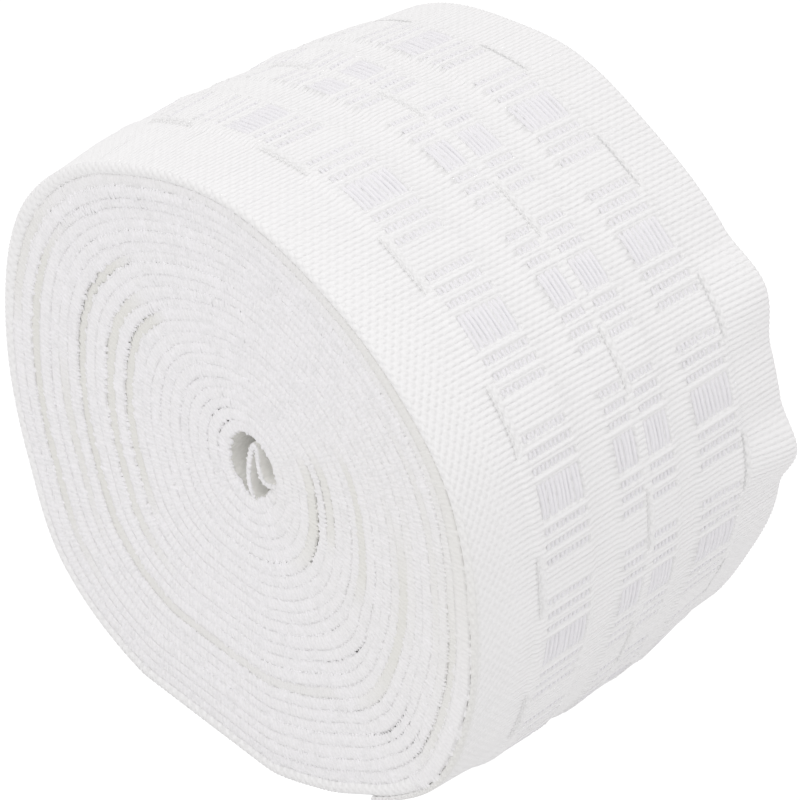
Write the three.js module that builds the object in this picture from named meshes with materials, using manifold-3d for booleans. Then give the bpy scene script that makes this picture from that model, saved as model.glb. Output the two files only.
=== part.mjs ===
// Roll of curtain heading tape with three woven pocket rows, wound without a core and lying on its side.
// Millimetres, +Z up. The roll's axis runs along X, its tape edges face -X and +X, -Y is the front,
// and the origin is on the floor under the middle of the roll.

import * as THREE from 'three';
import { mergeVertices } from 'three/addons/utils/BufferGeometryUtils.js';
import Module from 'manifold-3d';

// Tape
const tapeWidth = 75;
const tapeThickness = 1.3;
const selvedgeRound = 1.2;
const halfWidth = tapeWidth / 2;

// Wound outline: radius about a point at axisHeight over the floor. The angle runs from the back (+Y)
// over the top to the front (-Y). Below floor level the outline is pressed flat.
const axisHeight = 59.3;

const nearOutline = [
  { angle: 0, radius: 62.2 },
  { angle: 27, radius: 62.9 },
  { angle: 45, radius: 60.0 },
  { angle: 65, radius: 57.8 },
  { angle: 90, radius: 58.7 },
  { angle: 115, radius: 59.8 },
  { angle: 135, radius: 62.2 },
  { angle: 151, radius: 64.1 },
  { angle: 175, radius: 62.3 },
  { angle: 195, radius: 62.4 },
  { angle: 212, radius: 62.9 },
  { angle: 226, radius: 61.2 },
  { angle: 246, radius: 59.0 },
  { angle: 263, radius: 60.1 },
  { angle: 279, radius: 61.2 },
  { angle: 294, radius: 64.9 },
  { angle: 316, radius: 68.0 },
  { angle: 334, radius: 64.2 },
];

const farOutline = [
  { angle: 0, radius: 59.6 },
  { angle: 30, radius: 59.8 },
  { angle: 58, radius: 58.6 },
  { angle: 78, radius: 56.9 },
  { angle: 95, radius: 57.3 },
  { angle: 114, radius: 56.1 },
  { angle: 136, radius: 57.0 },
  { angle: 162, radius: 57.4 },
  { angle: 188, radius: 56.8 },
  { angle: 206, radius: 55.8 },
  { angle: 226, radius: 58.0 },
  { angle: 246, radius: 58.8 },
  { angle: 263, radius: 60.1 },
  { angle: 279, radius: 61.2 },
  { angle: 295, radius: 63.6 },
  { angle: 318, radius: 64.2 },
  { angle: 338, radius: 61.0 },
];

// Waves of the loose far edge: how far they reach across the tape, and inwards in main turns
const farEdgeWaves = [
  { angle: 147, height: 3.8, halfSpan: 11 },
  { angle: 176, height: 3.4, halfSpan: 9 },
];
const waveReach = 16;
const waveDepth = 1.2;

// The outer turn ends low on the front, above the flat spot
const tapeEndAngle = 232.8;
const tapeEndWidth = 0.6;
const tapeEndFade = 14;

// Woven repeat: each motif has eight stations round the outline, a block of long threads at station 0
// and a pocket mouth between stations 2 and 6
const motifAngle = 28.8;
const motifStart = 132;
const motifStations = 8;
const stationAngle = motifAngle / motifStations;
const stationCount = Math.round(360 / stationAngle);

// Pocket rows across the tape, measured from the near edge
const pocketRows = [
  { low: 15.2, high: 26.6, mouth: 14.4, lip: 15.2 },
  { low: 35.4, high: 47.6, mouth: 40.5, lip: 41.3 },
  { low: 54.4, high: 63.6, mouth: 64.4, lip: 63.6 },
];
const rowRamp = 1.3;
const rowRelief = 0.5;
const blockDip = 0.3;
const lipRise = 0.6;
const mouthDip = 0.4;
const mouthByStation = [0, 0, 0.4, 1, 1, 1, 0.4, 0];

// End faces: a spiral groove for every second turn of tape
const mainTurns = 10;
const faceSteps = stationCount / 2;
const grooveStart = 0.5;
const groovePhases = [0, 0.17, 0.83];
const grooveDepth = 1.5;
const grooveOpens = { from: 0.3, to: 0.55 };
const grooveCloses = { from: mainTurns - 0.6, to: mainTurns - 0.1 };
const snapDepth = 0.04;

// Sideways slip of the turns against each other, as it varies along the tape
const sideSlip = 0.9;
const slipWaves = [
  { share: 0.3, rate: 1.9, start: 0 },
  { share: 0.2, rate: 4.3, start: 1 },
];

// Stretches where the turns stand apart and the groove is deeper
const openGaps = [
  { turn: 0.8, from: 112, to: 225, depth: 2.6 },
  { turn: 1.7, from: -45, to: 45, depth: 1.8 },
  { turn: 3.8, from: -60, to: 62, depth: 2.8 },
  { turn: 5.4, from: -50, to: 65, depth: 2.4 },
  { turn: 6.2, from: 140, to: 215, depth: 1.8 },
];
const gapReach = 1;
const gapFade = 14;

// Core: the inner end of the tape is folded into a tongue that leaves three eyes right through the roll
const hub = { y: -6.4, z: 65.2, radiusY: 8.9, radiusZ: 8.6, recess: 0.8 };
const coreEyes = [
  [
    { y: -2.8, z: 71.6 },
    { y: -5.2, z: 71.5 },
    { y: -4.9, z: 67.6 },
    { y: -3.7, z: 62.8 },
    { y: -2.5, z: 60.9 },
    { y: -0.4, z: 63.2 },
    { y: 0.3, z: 66.6 },
  ],
  [
    { y: -8.6, z: 70.0 },
    { y: -11.2, z: 69.6 },
    { y: -12.4, z: 67.1 },
    { y: -10.6, z: 65.7 },
    { y: -8.3, z: 66.4 },
  ],
  [
    { y: -5.9, z: 64.9 },
    { y: -4.8, z: 60.6 },
    { y: -8.8, z: 59.3 },
    { y: -12.9, z: 61.8 },
    { y: -11.8, z: 63.7 },
    { y: -8.2, z: 62.6 },
  ],
];
const eyeCurvePoints = 14;
const plugSpare = 2;

const fabric = new THREE.MeshStandardMaterial({ color: 0xf1f0ee, roughness: 0.95, metalness: 0 });

const radians = THREE.MathUtils.degToRad;
const lerp = THREE.MathUtils.lerp;
const clamp = THREE.MathUtils.clamp;
const smoothstep = THREE.MathUtils.smoothstep;

// Shortest signed way from one angle to another, in degrees
function angleBetween(angle, other) {
  return ((((angle - other + 180) % 360) + 360) % 360) - 180;
}

// Smooth closed curve of radius over angle through the rows of a table
function closedCurve(rows) {
  const count = rows.length;
  const row = (i) => {
    const turns = Math.floor(i / count);
    const { angle, radius } = rows[i - turns * count];
    return { angle: angle + 360 * turns, radius };
  };
  const slope = (i) => (row(i + 1).radius - row(i - 1).radius) / (row(i + 1).angle - row(i - 1).angle);
  return (angle) => {
    const turned = ((angle % 360) + 360) % 360;
    let i = -1;
    while (row(i + 1).angle <= turned) i += 1;
    const start = row(i);
    const end = row(i + 1);
    const span = end.angle - start.angle;
    const u = (turned - start.angle) / span;
    const bend = u * u * (3 - 2 * u);
    return (
      lerp(start.radius, end.radius, bend) +
      slope(i) * span * u * (1 - u) * (1 - u) -
      slope(i + 1) * span * u * u * (1 - u)
    );
  };
}

const nearRadius = closedCurve(nearOutline);
const farRadius = closedCurve(farOutline);

function edgeWave(across, angle) {
  const reach = smoothstep(across, tapeWidth - waveReach, tapeWidth);
  let height = 0;
  for (const wave of farEdgeWaves) {
    const away = Math.abs(angleBetween(angle, wave.angle)) / wave.halfSpan;
    height += wave.height * (1 - smoothstep(away, 0, 1));
  }
  return height * reach;
}

// The step down where the outer turn of tape ends
function tapeEndStep(angle) {
  const past = angleBetween(angle, tapeEndAngle);
  return past > tapeEndWidth / 2 && past < tapeEndFade ? tapeThickness * (1 - past / tapeEndFade) : 0;
}

function motifStation(angle) {
  const phase = angleBetween(angle, motifStart) / stationAngle;
  return ((Math.round(phase) % motifStations) + motifStations) % motifStations;
}

// Height of the woven pockets over the plain cloth
function pocketRelief(across, angle) {
  const station = motifStation(angle);
  const inBlock = station <= 1 || station === motifStations - 1;
  const mouthOpen = mouthByStation[station];
  let height = 0;
  for (const row of pocketRows) {
    const rise = smoothstep(across, row.low - rowRamp, row.low);
    const fall = 1 - smoothstep(across, row.high, row.high + rowRamp);
    height += Math.min(rise, fall) * (rowRelief - (inBlock ? blockDip : 0));
    if (across === row.lip) height += lipRise * mouthOpen;
    if (across === row.mouth) height -= (mouthDip + rowRelief * Math.min(rise, fall)) * mouthOpen;
  }
  return height;
}

function outlinePoint(across, angle, inset, waveShare = 1) {
  const share = across / tapeWidth;
  const radius =
    lerp(nearRadius(angle), farRadius(angle), share) +
    edgeWave(across, angle) * waveShare +
    pocketRelief(across, angle) -
    tapeEndStep(angle) -
    inset;
  const y = radius * Math.cos(radians(angle));
  const z = axisHeight + radius * Math.sin(radians(angle));
  return new THREE.Vector3(across - halfWidth, y, Math.max(z, inset));
}

// Triangles of the whole surface, gathered as loose corners
const corners = [];
const addTriangle = (a, b, c) => corners.push(a, b, c);

// Fill between two closed rings that run the same way round, whatever their counts
function stitchRings(inner, outer) {
  let i = 0;
  let j = 0;
  while (i < inner.length || j < outer.length) {
    const a = inner[i % inner.length];
    const b = outer[j % outer.length];
    if (j / outer.length <= i / inner.length && j < outer.length) {
      addTriangle(a, outer[(j + 1) % outer.length], b);
      j += 1;
    } else {
      addTriangle(a, inner[(i + 1) % inner.length], b);
      i += 1;
    }
  }
}

const stationAngles = [];
for (let i = 0; i < stationCount; i += 1) {
  stationAngles.push(motifStart + stationAngle * i);
  if (Math.abs(angleBetween(motifStart + stationAngle * i, tapeEndAngle)) < 0.01) {
    stationAngles.push(tapeEndAngle + tapeEndWidth);
  }
}

// Side of the roll, from the near rim to the far rim
const acrossStations = [
  selvedgeRound,
  ...pocketRows.flatMap((row) => [row.low - rowRamp, row.mouth, row.lip, row.low, row.high, row.high + rowRamp]),
  tapeWidth - selvedgeRound,
];
const acrossSorted = [...new Set(acrossStations)].sort((a, b) => a - b);
const sideRings = acrossSorted.map((across) => stationAngles.map((angle) => outlinePoint(across, angle, 0)));
for (let i = 0; i + 1 < sideRings.length; i += 1) stitchRings(sideRings[i], sideRings[i + 1]);

function hubPoint(angle) {
  return { y: hub.y + hub.radiusY * Math.cos(radians(angle)), z: hub.z + hub.radiusZ * Math.sin(radians(angle)) };
}

function turnSlip(along) {
  let share = 0.5;
  for (const wave of slipWaves) share += wave.share * Math.sin(along * wave.rate + wave.start);
  return sideSlip * share;
}

function gapDepth(turn, angle) {
  let depth = 0;
  for (const gap of openGaps) {
    const middle = (gap.from + gap.to) / 2;
    const away = Math.abs(angleBetween(angle, middle)) - (gap.to - gap.from) / 2;
    const along = 1 - smoothstep(away, 0, gapFade);
    const near = 1 - smoothstep(Math.abs(turn - gap.turn), 0, gapReach);
    depth = Math.max(depth, gap.depth * along * near);
  }
  return depth;
}

// One end of the roll. The lines of the groove and its lips wind outwards from the hub to the rim, so
// after each full turn a line carries on as the next one out. side is -1 for the near end, 1 for the far.
function buildEnd(side) {
  const across = side < 0 ? 0 : tapeWidth;
  const rimAngle = tapeEndAngle + stationAngle;
  const point = (turnIndex, phase, step) => {
    const angle = rimAngle + (360 * step) / faceSteps;
    let turn = turnIndex + phase + grooveStart - step / faceSteps;
    if (turn < snapDepth) turn = 0;
    if (turn > mainTurns - snapDepth) turn = mainTurns;
    const rim = outlinePoint(across, angle, selvedgeRound, 1 - smoothstep(turn, 0, waveDepth));
    const core = hubPoint(angle);
    const share = turn / mainTurns;
    const along = turnIndex - step / faceSteps;
    const slip = turnSlip(along);
    let recess = (side < 0 ? slip : sideSlip - slip) * smoothstep(turn, 0, 1);
    recess = lerp(recess, hub.recess, smoothstep(turn, mainTurns - 1, mainTurns));
    if (phase === 0) {
      const opened = smoothstep(turn, grooveOpens.from, grooveOpens.to);
      const closed = smoothstep(turn, grooveCloses.from, grooveCloses.to);
      recess += (grooveDepth + gapDepth(turn, angle)) * opened * (1 - closed);
    }
    return new THREE.Vector3(side * (halfWidth - recess), lerp(rim.y, core.y, share), lerp(rim.z, core.z, share));
  };
  const lines = [];
  for (let turnIndex = -1; turnIndex <= mainTurns; turnIndex += 1) {
    for (const phase of groovePhases) {
      const line = [];
      for (let step = 0; step < faceSteps; step += 1) line.push(point(turnIndex, phase, step));
      line.push(point(turnIndex - 1, phase, 0));
      lines.push(line);
    }
  }
  for (let k = 0; k + 1 < lines.length; k += 1) {
    for (let step = 0; step < faceSteps; step += 1) {
      const outer = [lines[k][step], lines[k][step + 1]];
      const inner = [lines[k + 1][step], lines[k + 1][step + 1]];
      const order = side < 0 ? [outer, inner] : [inner, outer];
      addTriangle(order[0][0], order[1][0], order[1][1]);
      addTriangle(order[0][0], order[1][1], order[0][1]);
    }
  }
  const faceRim = [];
  const hubRing = [];
  for (let step = 0; step < faceSteps; step += 1) {
    const angle = rimAngle + (360 * step) / faceSteps;
    faceRim.push(outlinePoint(across, angle, selvedgeRound));
    const core = hubPoint(angle);
    hubRing.push(new THREE.Vector3(side * (halfWidth - hub.recess), core.y, core.z));
  }
  const middle = new THREE.Vector3(side * (halfWidth - hub.recess), hub.y, hub.z);
  hubRing.forEach((corner, i) => {
    const next = hubRing[(i + 1) % faceSteps];
    if (side < 0) addTriangle(middle, next, corner);
    else addTriangle(middle, corner, next);
  });
  const firstStation = stationAngles.findIndex((angle) => Math.abs(angleBetween(angle, rimAngle)) < 0.01);
  const sideRim = side < 0 ? sideRings[0] : sideRings[sideRings.length - 1];
  const turnedRim = [...sideRim.slice(firstStation), ...sideRim.slice(0, firstStation)];
  if (side < 0) stitchRings(faceRim, turnedRim);
  else stitchRings(turnedRim, faceRim);
}

buildEnd(-1);
buildEnd(1);

// Join equal corners and leave out triangles that have closed up to a line
function closedGeometry(points) {
  const loose = new THREE.BufferGeometry().setFromPoints(points);
  const merged = mergeVertices(loose, 1e-4);
  const index = merged.getIndex().array;
  const kept = [];
  for (let i = 0; i < index.length; i += 3) {
    const [a, b, c] = [index[i], index[i + 1], index[i + 2]];
    if (a !== b && b !== c && c !== a) kept.push(a, b, c);
  }
  merged.setIndex(kept);
  return merged;
}

const wasm = await Module();
wasm.setup();

function toSolid(geometry) {
  const bare = geometry.clone();
  bare.deleteAttribute('normal');
  bare.deleteAttribute('uv');
  const merged = mergeVertices(bare, 1e-4);
  return new wasm.Manifold(
    new wasm.Mesh({
      numProp: 3,
      vertProperties: new Float32Array(merged.getAttribute('position').array),
      triVerts: new Uint32Array(merged.getIndex().array),
    })
  );
}

function toGeometry(solid) {
  const mesh = solid.getMesh();
  const geometry = new THREE.BufferGeometry();
  geometry.setAttribute('position', new THREE.BufferAttribute(mesh.vertProperties, mesh.numProp));
  geometry.setIndex(new THREE.BufferAttribute(mesh.triVerts, 1));
  geometry.computeVertexNormals();
  return geometry;
}

// A straight plug along X with the outline of one core eye, longer than the roll is wide by plugSpare
// at each end
function eyePlug(rows) {
  const curve = new THREE.CatmullRomCurve3(
    rows.map(({ y, z }) => new THREE.Vector3(y, z, 0)),
    true
  );
  const outline = curve.getSpacedPoints(eyeCurvePoints).slice(0, eyeCurvePoints);
  const shape = new THREE.Shape(outline.map((p) => new THREE.Vector2(p.x, p.y)));
  const plug = new THREE.ExtrudeGeometry(shape, { depth: tapeWidth + 2 * plugSpare, bevelEnabled: false });
  const toRoll = new THREE.Matrix4().set(0, 0, 1, -halfWidth - plugSpare, 1, 0, 0, 0, 0, 1, 0, 0, 0, 0, 0, 1);
  return plug.applyMatrix4(toRoll);
}

let rollSolid = toSolid(closedGeometry(corners));
for (const rows of coreEyes) rollSolid = rollSolid.subtract(toSolid(eyePlug(rows)));

const tapeRoll = new THREE.Mesh(toGeometry(rollSolid), fabric);
tapeRoll.name = 'tape_roll';

const model = new THREE.Group();
model.add(tapeRoll);

export default model;
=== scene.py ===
# Roll of white woven curtain heading tape, wound without a core and lying on its side.
# Lengths are in millimetres and become metres when a mesh is made. Angles are in degrees and run
# from the back (+Y) over the top to the front (-Y).

import bpy
import numpy as np
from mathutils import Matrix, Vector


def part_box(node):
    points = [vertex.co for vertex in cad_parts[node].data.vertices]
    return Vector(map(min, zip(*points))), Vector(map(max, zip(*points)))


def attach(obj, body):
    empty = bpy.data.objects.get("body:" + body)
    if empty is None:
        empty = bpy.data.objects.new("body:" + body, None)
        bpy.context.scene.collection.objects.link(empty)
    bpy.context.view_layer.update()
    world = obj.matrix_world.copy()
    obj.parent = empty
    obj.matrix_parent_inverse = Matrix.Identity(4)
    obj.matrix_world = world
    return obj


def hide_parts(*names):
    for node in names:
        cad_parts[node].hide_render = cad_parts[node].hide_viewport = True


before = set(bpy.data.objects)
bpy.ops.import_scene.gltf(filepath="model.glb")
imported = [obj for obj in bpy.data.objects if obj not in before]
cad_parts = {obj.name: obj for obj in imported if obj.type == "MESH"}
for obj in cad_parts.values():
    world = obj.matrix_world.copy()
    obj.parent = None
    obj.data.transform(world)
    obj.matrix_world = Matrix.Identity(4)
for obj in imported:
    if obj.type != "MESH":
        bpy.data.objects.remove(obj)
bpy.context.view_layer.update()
print("frame loaded")

metre = 0.001
rollNode = "tape_roll"
rollLow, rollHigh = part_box(rollNode)

# How the roll is wound
roll = {
    "width": (rollHigh.x - rollLow.x) / metre,
    "axisHeight": 59.3,
    "outerRadius": 60.0,     # near enough, for lengths of tape
    "turns": 24.08,
    "endAngle": 232.8,       # the loose end, low on the front
    "endFade": 14,           # how far the next turn takes to come up past the end
    "endLift": 1.2,          # how far the turns below the thin end stand up to meet it
    "liftSpan": 32,
    "hubY": -5.3,
    "hubZ": 64.9,
    "hubRadiusY": 7.2,
    "hubRadiusZ": 8.1,
    "thinnest": 0.7,
    "bulgeFrom": 0.1,        # further in than this the pockets swell and fill a shallow gap
    "bulgeTo": 0.9,
    "tongueThickness": 1.0,
    "wobble": 0.2,
    "wobbleSpacing": 17,
    "wobbleSkew": 0.15,
    "wobbleTurns": (0.8, 1.6),
    "wobbleEnd": 0.5,        # turns at the core over which it fades
    "sunkShare": 0.42,       # share of the listed depths of the sunk turns
    "floorSoftness": 0.35,
    "seed": 11,
}

# Radius of the outside about the axis, by angle, at the near and at the far edge of the tape
nearOutline = [
    (0, 62.2), (27, 62.2), (45, 59.8), (65, 57.8), (90, 58.7), (115, 59.8),
    (135, 62.2), (151, 64.1), (175, 62.3), (195, 62.4), (212, 62.9), (226, 61.2),
    (246, 59.0), (263, 60.1), (279, 61.2), (294, 64.9), (316, 68.0), (334, 64.2),
]
farOutline = [
    (0, 59.6), (30, 59.8), (58, 58.6), (78, 56.9), (95, 57.3), (114, 56.1),
    (136, 57.7), (162, 58.1), (188, 57.7), (206, 56.5), (226, 58.0), (246, 58.8),
    (263, 60.1), (279, 61.2), (295, 63.6), (318, 64.2), (338, 61.0),
]

# Waves of the loose far edge of the outer turn
edgeWaves = [
    {"angle": 147, "height": 3.8, "halfSpan": 11},
    {"angle": 176, "height": 3.4, "halfSpan": 9},
]
waveReach = 16
waveTurns = (0.9, 2.6)       # the waves fade between these turns

# Sideways slip of one turn against the next, slow and quick, by chance
slips = {
    "near": {"size": 0.14, "middle": 1, "slow": 90, "quick": 24, "quickShare": 0.5},
    "far": {"size": 0.4, "middle": -0.8, "slow": 130, "quick": 38, "quickShare": 0.3},
    "across": (12, 60),      # from the near end's slip to the far end's
    "turns": (0.95, 1.1),    # the outer turn doesn't slip
}

# Where the middle of the tape swells past both edges: (across, height)
swells = [
    {"angle": 45, "before": 15, "after": 42, "rows": [
        (0, 0.4), (3.5, 0.9), (8, 1.8), (13, 2.3), (17.5, 1.9), (27, 2.5), (31, 2.5), (36, 2.0),
        (41, 1.6), (45, 2.2), (50, 2.3), (55, 1.7), (59, 1.4), (64, 0.9), (69, 0.6), (75, 0.2)]},
    {"angle": 225, "before": 32, "after": 32, "rows": [
        (0, 0), (9, 0.8), (16, 1.6), (30, 2.0), (37, 2.2), (44, 1.8), (51, 2.4), (58, 1.4), (65, 0.2),
        (75, 0)]},
]

# Places where two turns stand apart at the near edge: the gap is outside of the turn given first, and
# a deep gap stays open. Each stop has the angle, the shift of the turns inside of it and the open width.
turnGaps = [
    (1, False, [(8, 0, 0), (18, 0.5, 0.1), (30, 0.7, 0.15), (42, 0.5, 0.1), (55, 0, 0)]),
    (4, False, [(8, 0, 0), (18, -0.5, 0), (30, -0.7, 0), (42, -0.5, 0), (55, 0, 0)]),
    (1, False, [(172, 0, 0), (188, -0.8, 0), (216, -0.6, 0), (232.8, 0, 0)]),
    (2, False, [
        (85, 0, 0), (105, 0.2, 0.1), (130, 0.3, 0.1), (150, 0.7, 0.1), (185, 1.4, 0), (205, 1.2, 0),
        (222, 0.3, 0), (230, 0, 0)]),
    (3, True, [(31, 0, 0), (36, 0, 0.25), (43, 0, 0.2), (47, 0, 0)]),
    (3, True, [(206, 0, 0), (209, 0.1, 0.25), (213, 0.1, 0.25), (216, 0, 0)]),
    (4, True, [(202, 0, 0), (208, -0.5, 0.25), (213, -0.5, 0.3), (221, 0, 0)]),
    (5, False, [(-55, 0, 0), (-40, 0.3, 0.4), (-13, 0.3, 0.4), (0, 0.2, 0.3), (12, 0, 0)]),
    (5, True, [(203, 0, 0), (209, 0.4, 0.3), (215, 0.4, 0.3), (221, 0, 0)]),
    (6, True, [(30, 0, 0), (34, 0, 0.25), (42, 0, 0.35), (46, 0, 0)]),
    (6, True, [(200, 0, 0), (208, -0.7, 0.35), (219, -0.7, 0.35), (228, 0, 0)]),
    (7, False, [(200, 0, 0), (208, 0.7, 0), (219, 0.7, 0), (228, 0, 0)]),
    (8, False, [
        (-127.2, 0, 0.25), (-100, 0, 0.25), (-60, 0.2, 0.4), (-20, 0.2, 0.4), (10, 0.1, 0.3),
        (30, 0, 0)]),
    (8, False, [(205, 0, 0), (216, 0, 0.3), (232.8, 0, 0.25)]),
    (9, True, [(22, 0, 0), (30, 0.1, 0.3), (38, 0.2, 0.45), (48, -0.3, 0.35), (54, 0, 0)]),
    (12, True, [(38, 0, 0), (44, 0.5, 0.25), (50, 0.5, 0.25), (56, 0, 0)]),
    (13, False, [(38, 0, 0), (44, -0.5, 0), (50, -0.5, 0), (56, 0, 0)]),
    (12, True, [(198, 0, 0), (207, -0.5, 0.35), (218, 0.2, 0.35), (226, 0.2, 0.25), (232.8, 0, 0.15)]),
    (12, True, [(-127.2, 0, 0.15), (-118, -0.2, 0.1), (-108, 0, 0)]),
    (14, False, [(200, 0, 0), (212, 0.6, 0.2), (224, 0.6, 0.2), (232.8, 0, 0)]),
    (16, False, [(-15, 0, 0), (-4, -0.3, 0.3), (10, -0.2, 0.3), (22, 0, 0)]),
    (17, False, [(138, 0, 0), (154, 0.1, 0.45), (176, 0.4, 0.4), (188, 0, 0)]),
    (18, False, [(-30, 0, 0), (-12, 0, 0.3), (8, 0, 0.3), (25, 0, 0)]),
    (19, False, [(138, 0, 0), (155, 0.3, 0.7), (185, 0.6, 0.9), (205, 0.4, 0.6), (228, 0, 0)]),
    (20, False, [(-40, 0, 0), (-20, 0, 0.3), (19, -0.3, 0.3), (35, 0, 0)]),
    (21, False, [(-10, 0, 0), (10, 0, 0.3), (40, 0, 0.3), (58, 0, 0)]),
    (22, False, [(-45, 0, 0), (-10, 0.1, 0.35), (50, 0.1, 0.35), (72, 0, 0)]),
    (23, True, [(-75, 0, 0), (-50, 0.1, 0.25), (0, 0.1, 0.3), (60, 0.1, 0.3), (82, 0, 0)]),
]

# Turns whose near edge lies deeper than those beside it: the turn, and stops of angle and depth
sunkTurns = [
    (1, [
        (0, 0), (9, 0.35), (26, 0.35), (38, 0.08), (90, 0.08), (105, 0.2), (130, 0.35), (160, 0.3),
        (178, 0.15), (190, 0)]),
    (2, [(90, 0), (120, 0.1), (165, 0.15), (185, 0.4), (205, 0.3), (216, 0)]),
    (3, [
        (-52, 0), (-38, 0.4), (-22, 0.7), (10, 0.7), (20, 0.55), (32, 0.1), (42, 0), (158, 0),
        (168, 0.12), (190, 0.12), (204, 0)]),
    (4, [(132, 0), (150, 0.2), (178, 0.2), (195, 0)]),
    (6, [(-45, 0), (-28, 0.4), (-12, 0.4), (2, 0)]),
    (7, [(148, 0), (160, 0.1), (185, 0.1), (198, 0)]),
    (8, [
        (-127, 0.15), (-100, 0.25), (-60, 0.4), (-20, 0.6), (15, 0.9), (32, 1.0), (42, 0.4), (50, 0),
        (160, 0), (175, 0.45), (198, 0.5), (212, 0.3), (224, 0.1)]),
    (9, [(148, 0), (160, 0.1), (185, 0.1), (198, 0)]),
    (11, [(-62, 0), (-45, 0.4), (-20, 0.6), (20, 0.7), (34, 0.5), (46, 0)]),
    (13, [
        (-45, 0), (-30, 0.5), (0, 0.7), (28, 0.8), (40, 0.5), (50, 0), (140, 0), (152, 0.45),
        (185, 0.5), (200, 0)]),
    (17, [(138, 0), (152, 0.4), (180, 0.35), (192, 0)]),
    (19, [(138, 0), (155, 0.4), (185, 0.5), (210, 0.25), (230, 0)]),
]

# The inner end of the tape, folded into a tongue inside the hub: (y, z) along the middle of the cloth
tongueRoute = [
    (-12.5, 64.9), (-11.2, 64.2), (-9.3, 63.6), (-7.9, 63.8), (-7.1, 65.1), (-6.6, 67.0), (-6.5, 68.8),
    (-5.9, 70.2), (-5.2, 69.2), (-4.6, 67.0), (-4.2, 64.2), (-4.3, 61.6), (-5.0, 59.4), (-6.3, 57.8),
]

# The woven pattern, along the tape from the middle of a block of long threads and across it from
# the near edge
weave = {
    "repeat": 30.0,
    "startAngle": 132,       # a block of long threads is here
    "ribs": 29,              # in one repeat
    "ribHeight": 0.1,
    "ribSway": 0.12,
    "swaySpacing": 5.5,
    "swayShift": 12,
    "ribUneven": 0.35,
    "unevenSpacing": (1.9, 7),
    "marginRibs": 0.85,      # share of the ribs that is left at the near edge, at the back
    "frontRibs": 0.22,       # and at the front
    "frontFrom": -30,        # between these lengths from the pattern's start
    "frontTo": 20,
    "marginFade": (5, 14),
    "warpPitch": 0.9,
    "rows": [
        {"low": 15.2, "high": 27.2, "slit": 14.9, "blocks": [(17.0, 26.8)]},
        {"low": 34.8, "high": 48.2, "slit": 40.9, "blocks": [(35.2, 40.0), (42.4, 47.8)]},
        {"low": 54.0, "high": 63.9, "slit": 64.1, "blocks": [(54.2, 63.2)]},
    ],
    "rowRise": 0.4,
    "rowRamp": 1.3,
    "blockHalf": 3.3,
    "blockDip": 0.42,
    "blockFade": 0.3,
    "ridges": [4.0, 6.8, 9.6],
    "ridgeHeight": 0.07,
    "ridgeHalf": 0.5,
    "barRows": [5.4, 8.15, 11.0],
    "barHalf": 0.72,
    "barDip": 0.38,
    "slitStart": 8.0,
    "slitStop": 22.0,
    "slitFade": 2.0,
    "lipRise": 0.03,
    "lipWidth": 1.4,
    "mouthDip": 0.65,
    "mouthHalf": 0.13,
    "slitWave": 0.22,
    "slitWaveSpacing": 4.5,
    "slitWaveReach": 1.6,
}


def smoothStep(value, low, high):
    t = np.clip((value - low) / (high - low), 0, 1)
    return t * t * (3 - 2 * t)


def angleFrom(angle, other):
    return (angle - other + 180) % 360 - 180


# 1 from b to c, 0 below a and above d
def plateau(value, a, b, c, d):
    return smoothStep(value, a, b) * (1 - smoothStep(value, c, d))


# Value at a place, such as an angle, between the stops of a table row
def betweenStops(place, stops, column):
    return np.interp(place, [stop[0] for stop in stops], [stop[column] for stop in stops], left=0, right=0)


# Smooth random wave between -1 and 1, with a new random value every spacing
def smoothNoise(where, spacing, seed):
    count = 1024
    values = np.random.default_rng(seed).uniform(-1, 1, count)
    place = where / spacing
    first = np.floor(place).astype(int)
    t = smoothStep(place - first, 0, 1)
    return values[first % count] * (1 - t) + values[(first + 1) % count] * t


# The same over the cloth, with its own spacing along and across the tape
def clothNoise(along, across, alongSpacing, acrossSpacing, seed):
    rows, columns = 512, 128
    values = np.random.default_rng(seed).uniform(-1, 1, (rows, columns))
    row, column = along / alongSpacing, across / acrossSpacing
    firstRow, firstColumn = np.floor(row).astype(int), np.floor(column).astype(int)
    t, u = smoothStep(row - firstRow, 0, 1), smoothStep(column - firstColumn, 0, 1)
    nextRow, nextColumn = (firstRow + 1) % rows, (firstColumn + 1) % columns
    firstRow, firstColumn = firstRow % rows, firstColumn % columns
    low = values[firstRow, firstColumn] * (1 - t) + values[nextRow, firstColumn] * t
    high = values[firstRow, nextColumn] * (1 - t) + values[nextRow, nextColumn] * t
    return low * (1 - u) + high * u


# Smooth closed curve of radius over angle through the rows of a table
def closedCurve(rows):
    angle = np.array([row[0] for row in rows], float)
    radius = np.array([row[1] for row in rows], float)
    angle = np.concatenate([angle[-2:] - 360, angle, angle[:3] + 360])
    radius = np.concatenate([radius[-2:], radius, radius[:3]])
    slope = np.zeros_like(angle)
    slope[1:-1] = (radius[2:] - radius[:-2]) / (angle[2:] - angle[:-2])

    def radiusAt(place):
        turned = np.mod(place, 360)
        i = np.searchsorted(angle, turned, side="right") - 1
        span = angle[i + 1] - angle[i]
        u = (turned - angle[i]) / span
        bend = u * u * (3 - 2 * u)
        straight = radius[i] * (1 - bend) + radius[i + 1] * bend
        return straight + slope[i] * span * u * (1 - u) ** 2 - slope[i + 1] * span * u * u * (1 - u)

    return radiusAt


nearRadius = closedCurve(nearOutline)
farRadius = closedCurve(farOutline)


# Length of tape from the loose end to a place some turns in, close enough for patterns and noise
def lengthAt(turns):
    outside, inside = roll["outerRadius"], roll["hubRadiusY"]
    return 2 * np.pi * (outside * turns - (outside - inside) * turns ** 2 / (2 * roll["turns"]))


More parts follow.
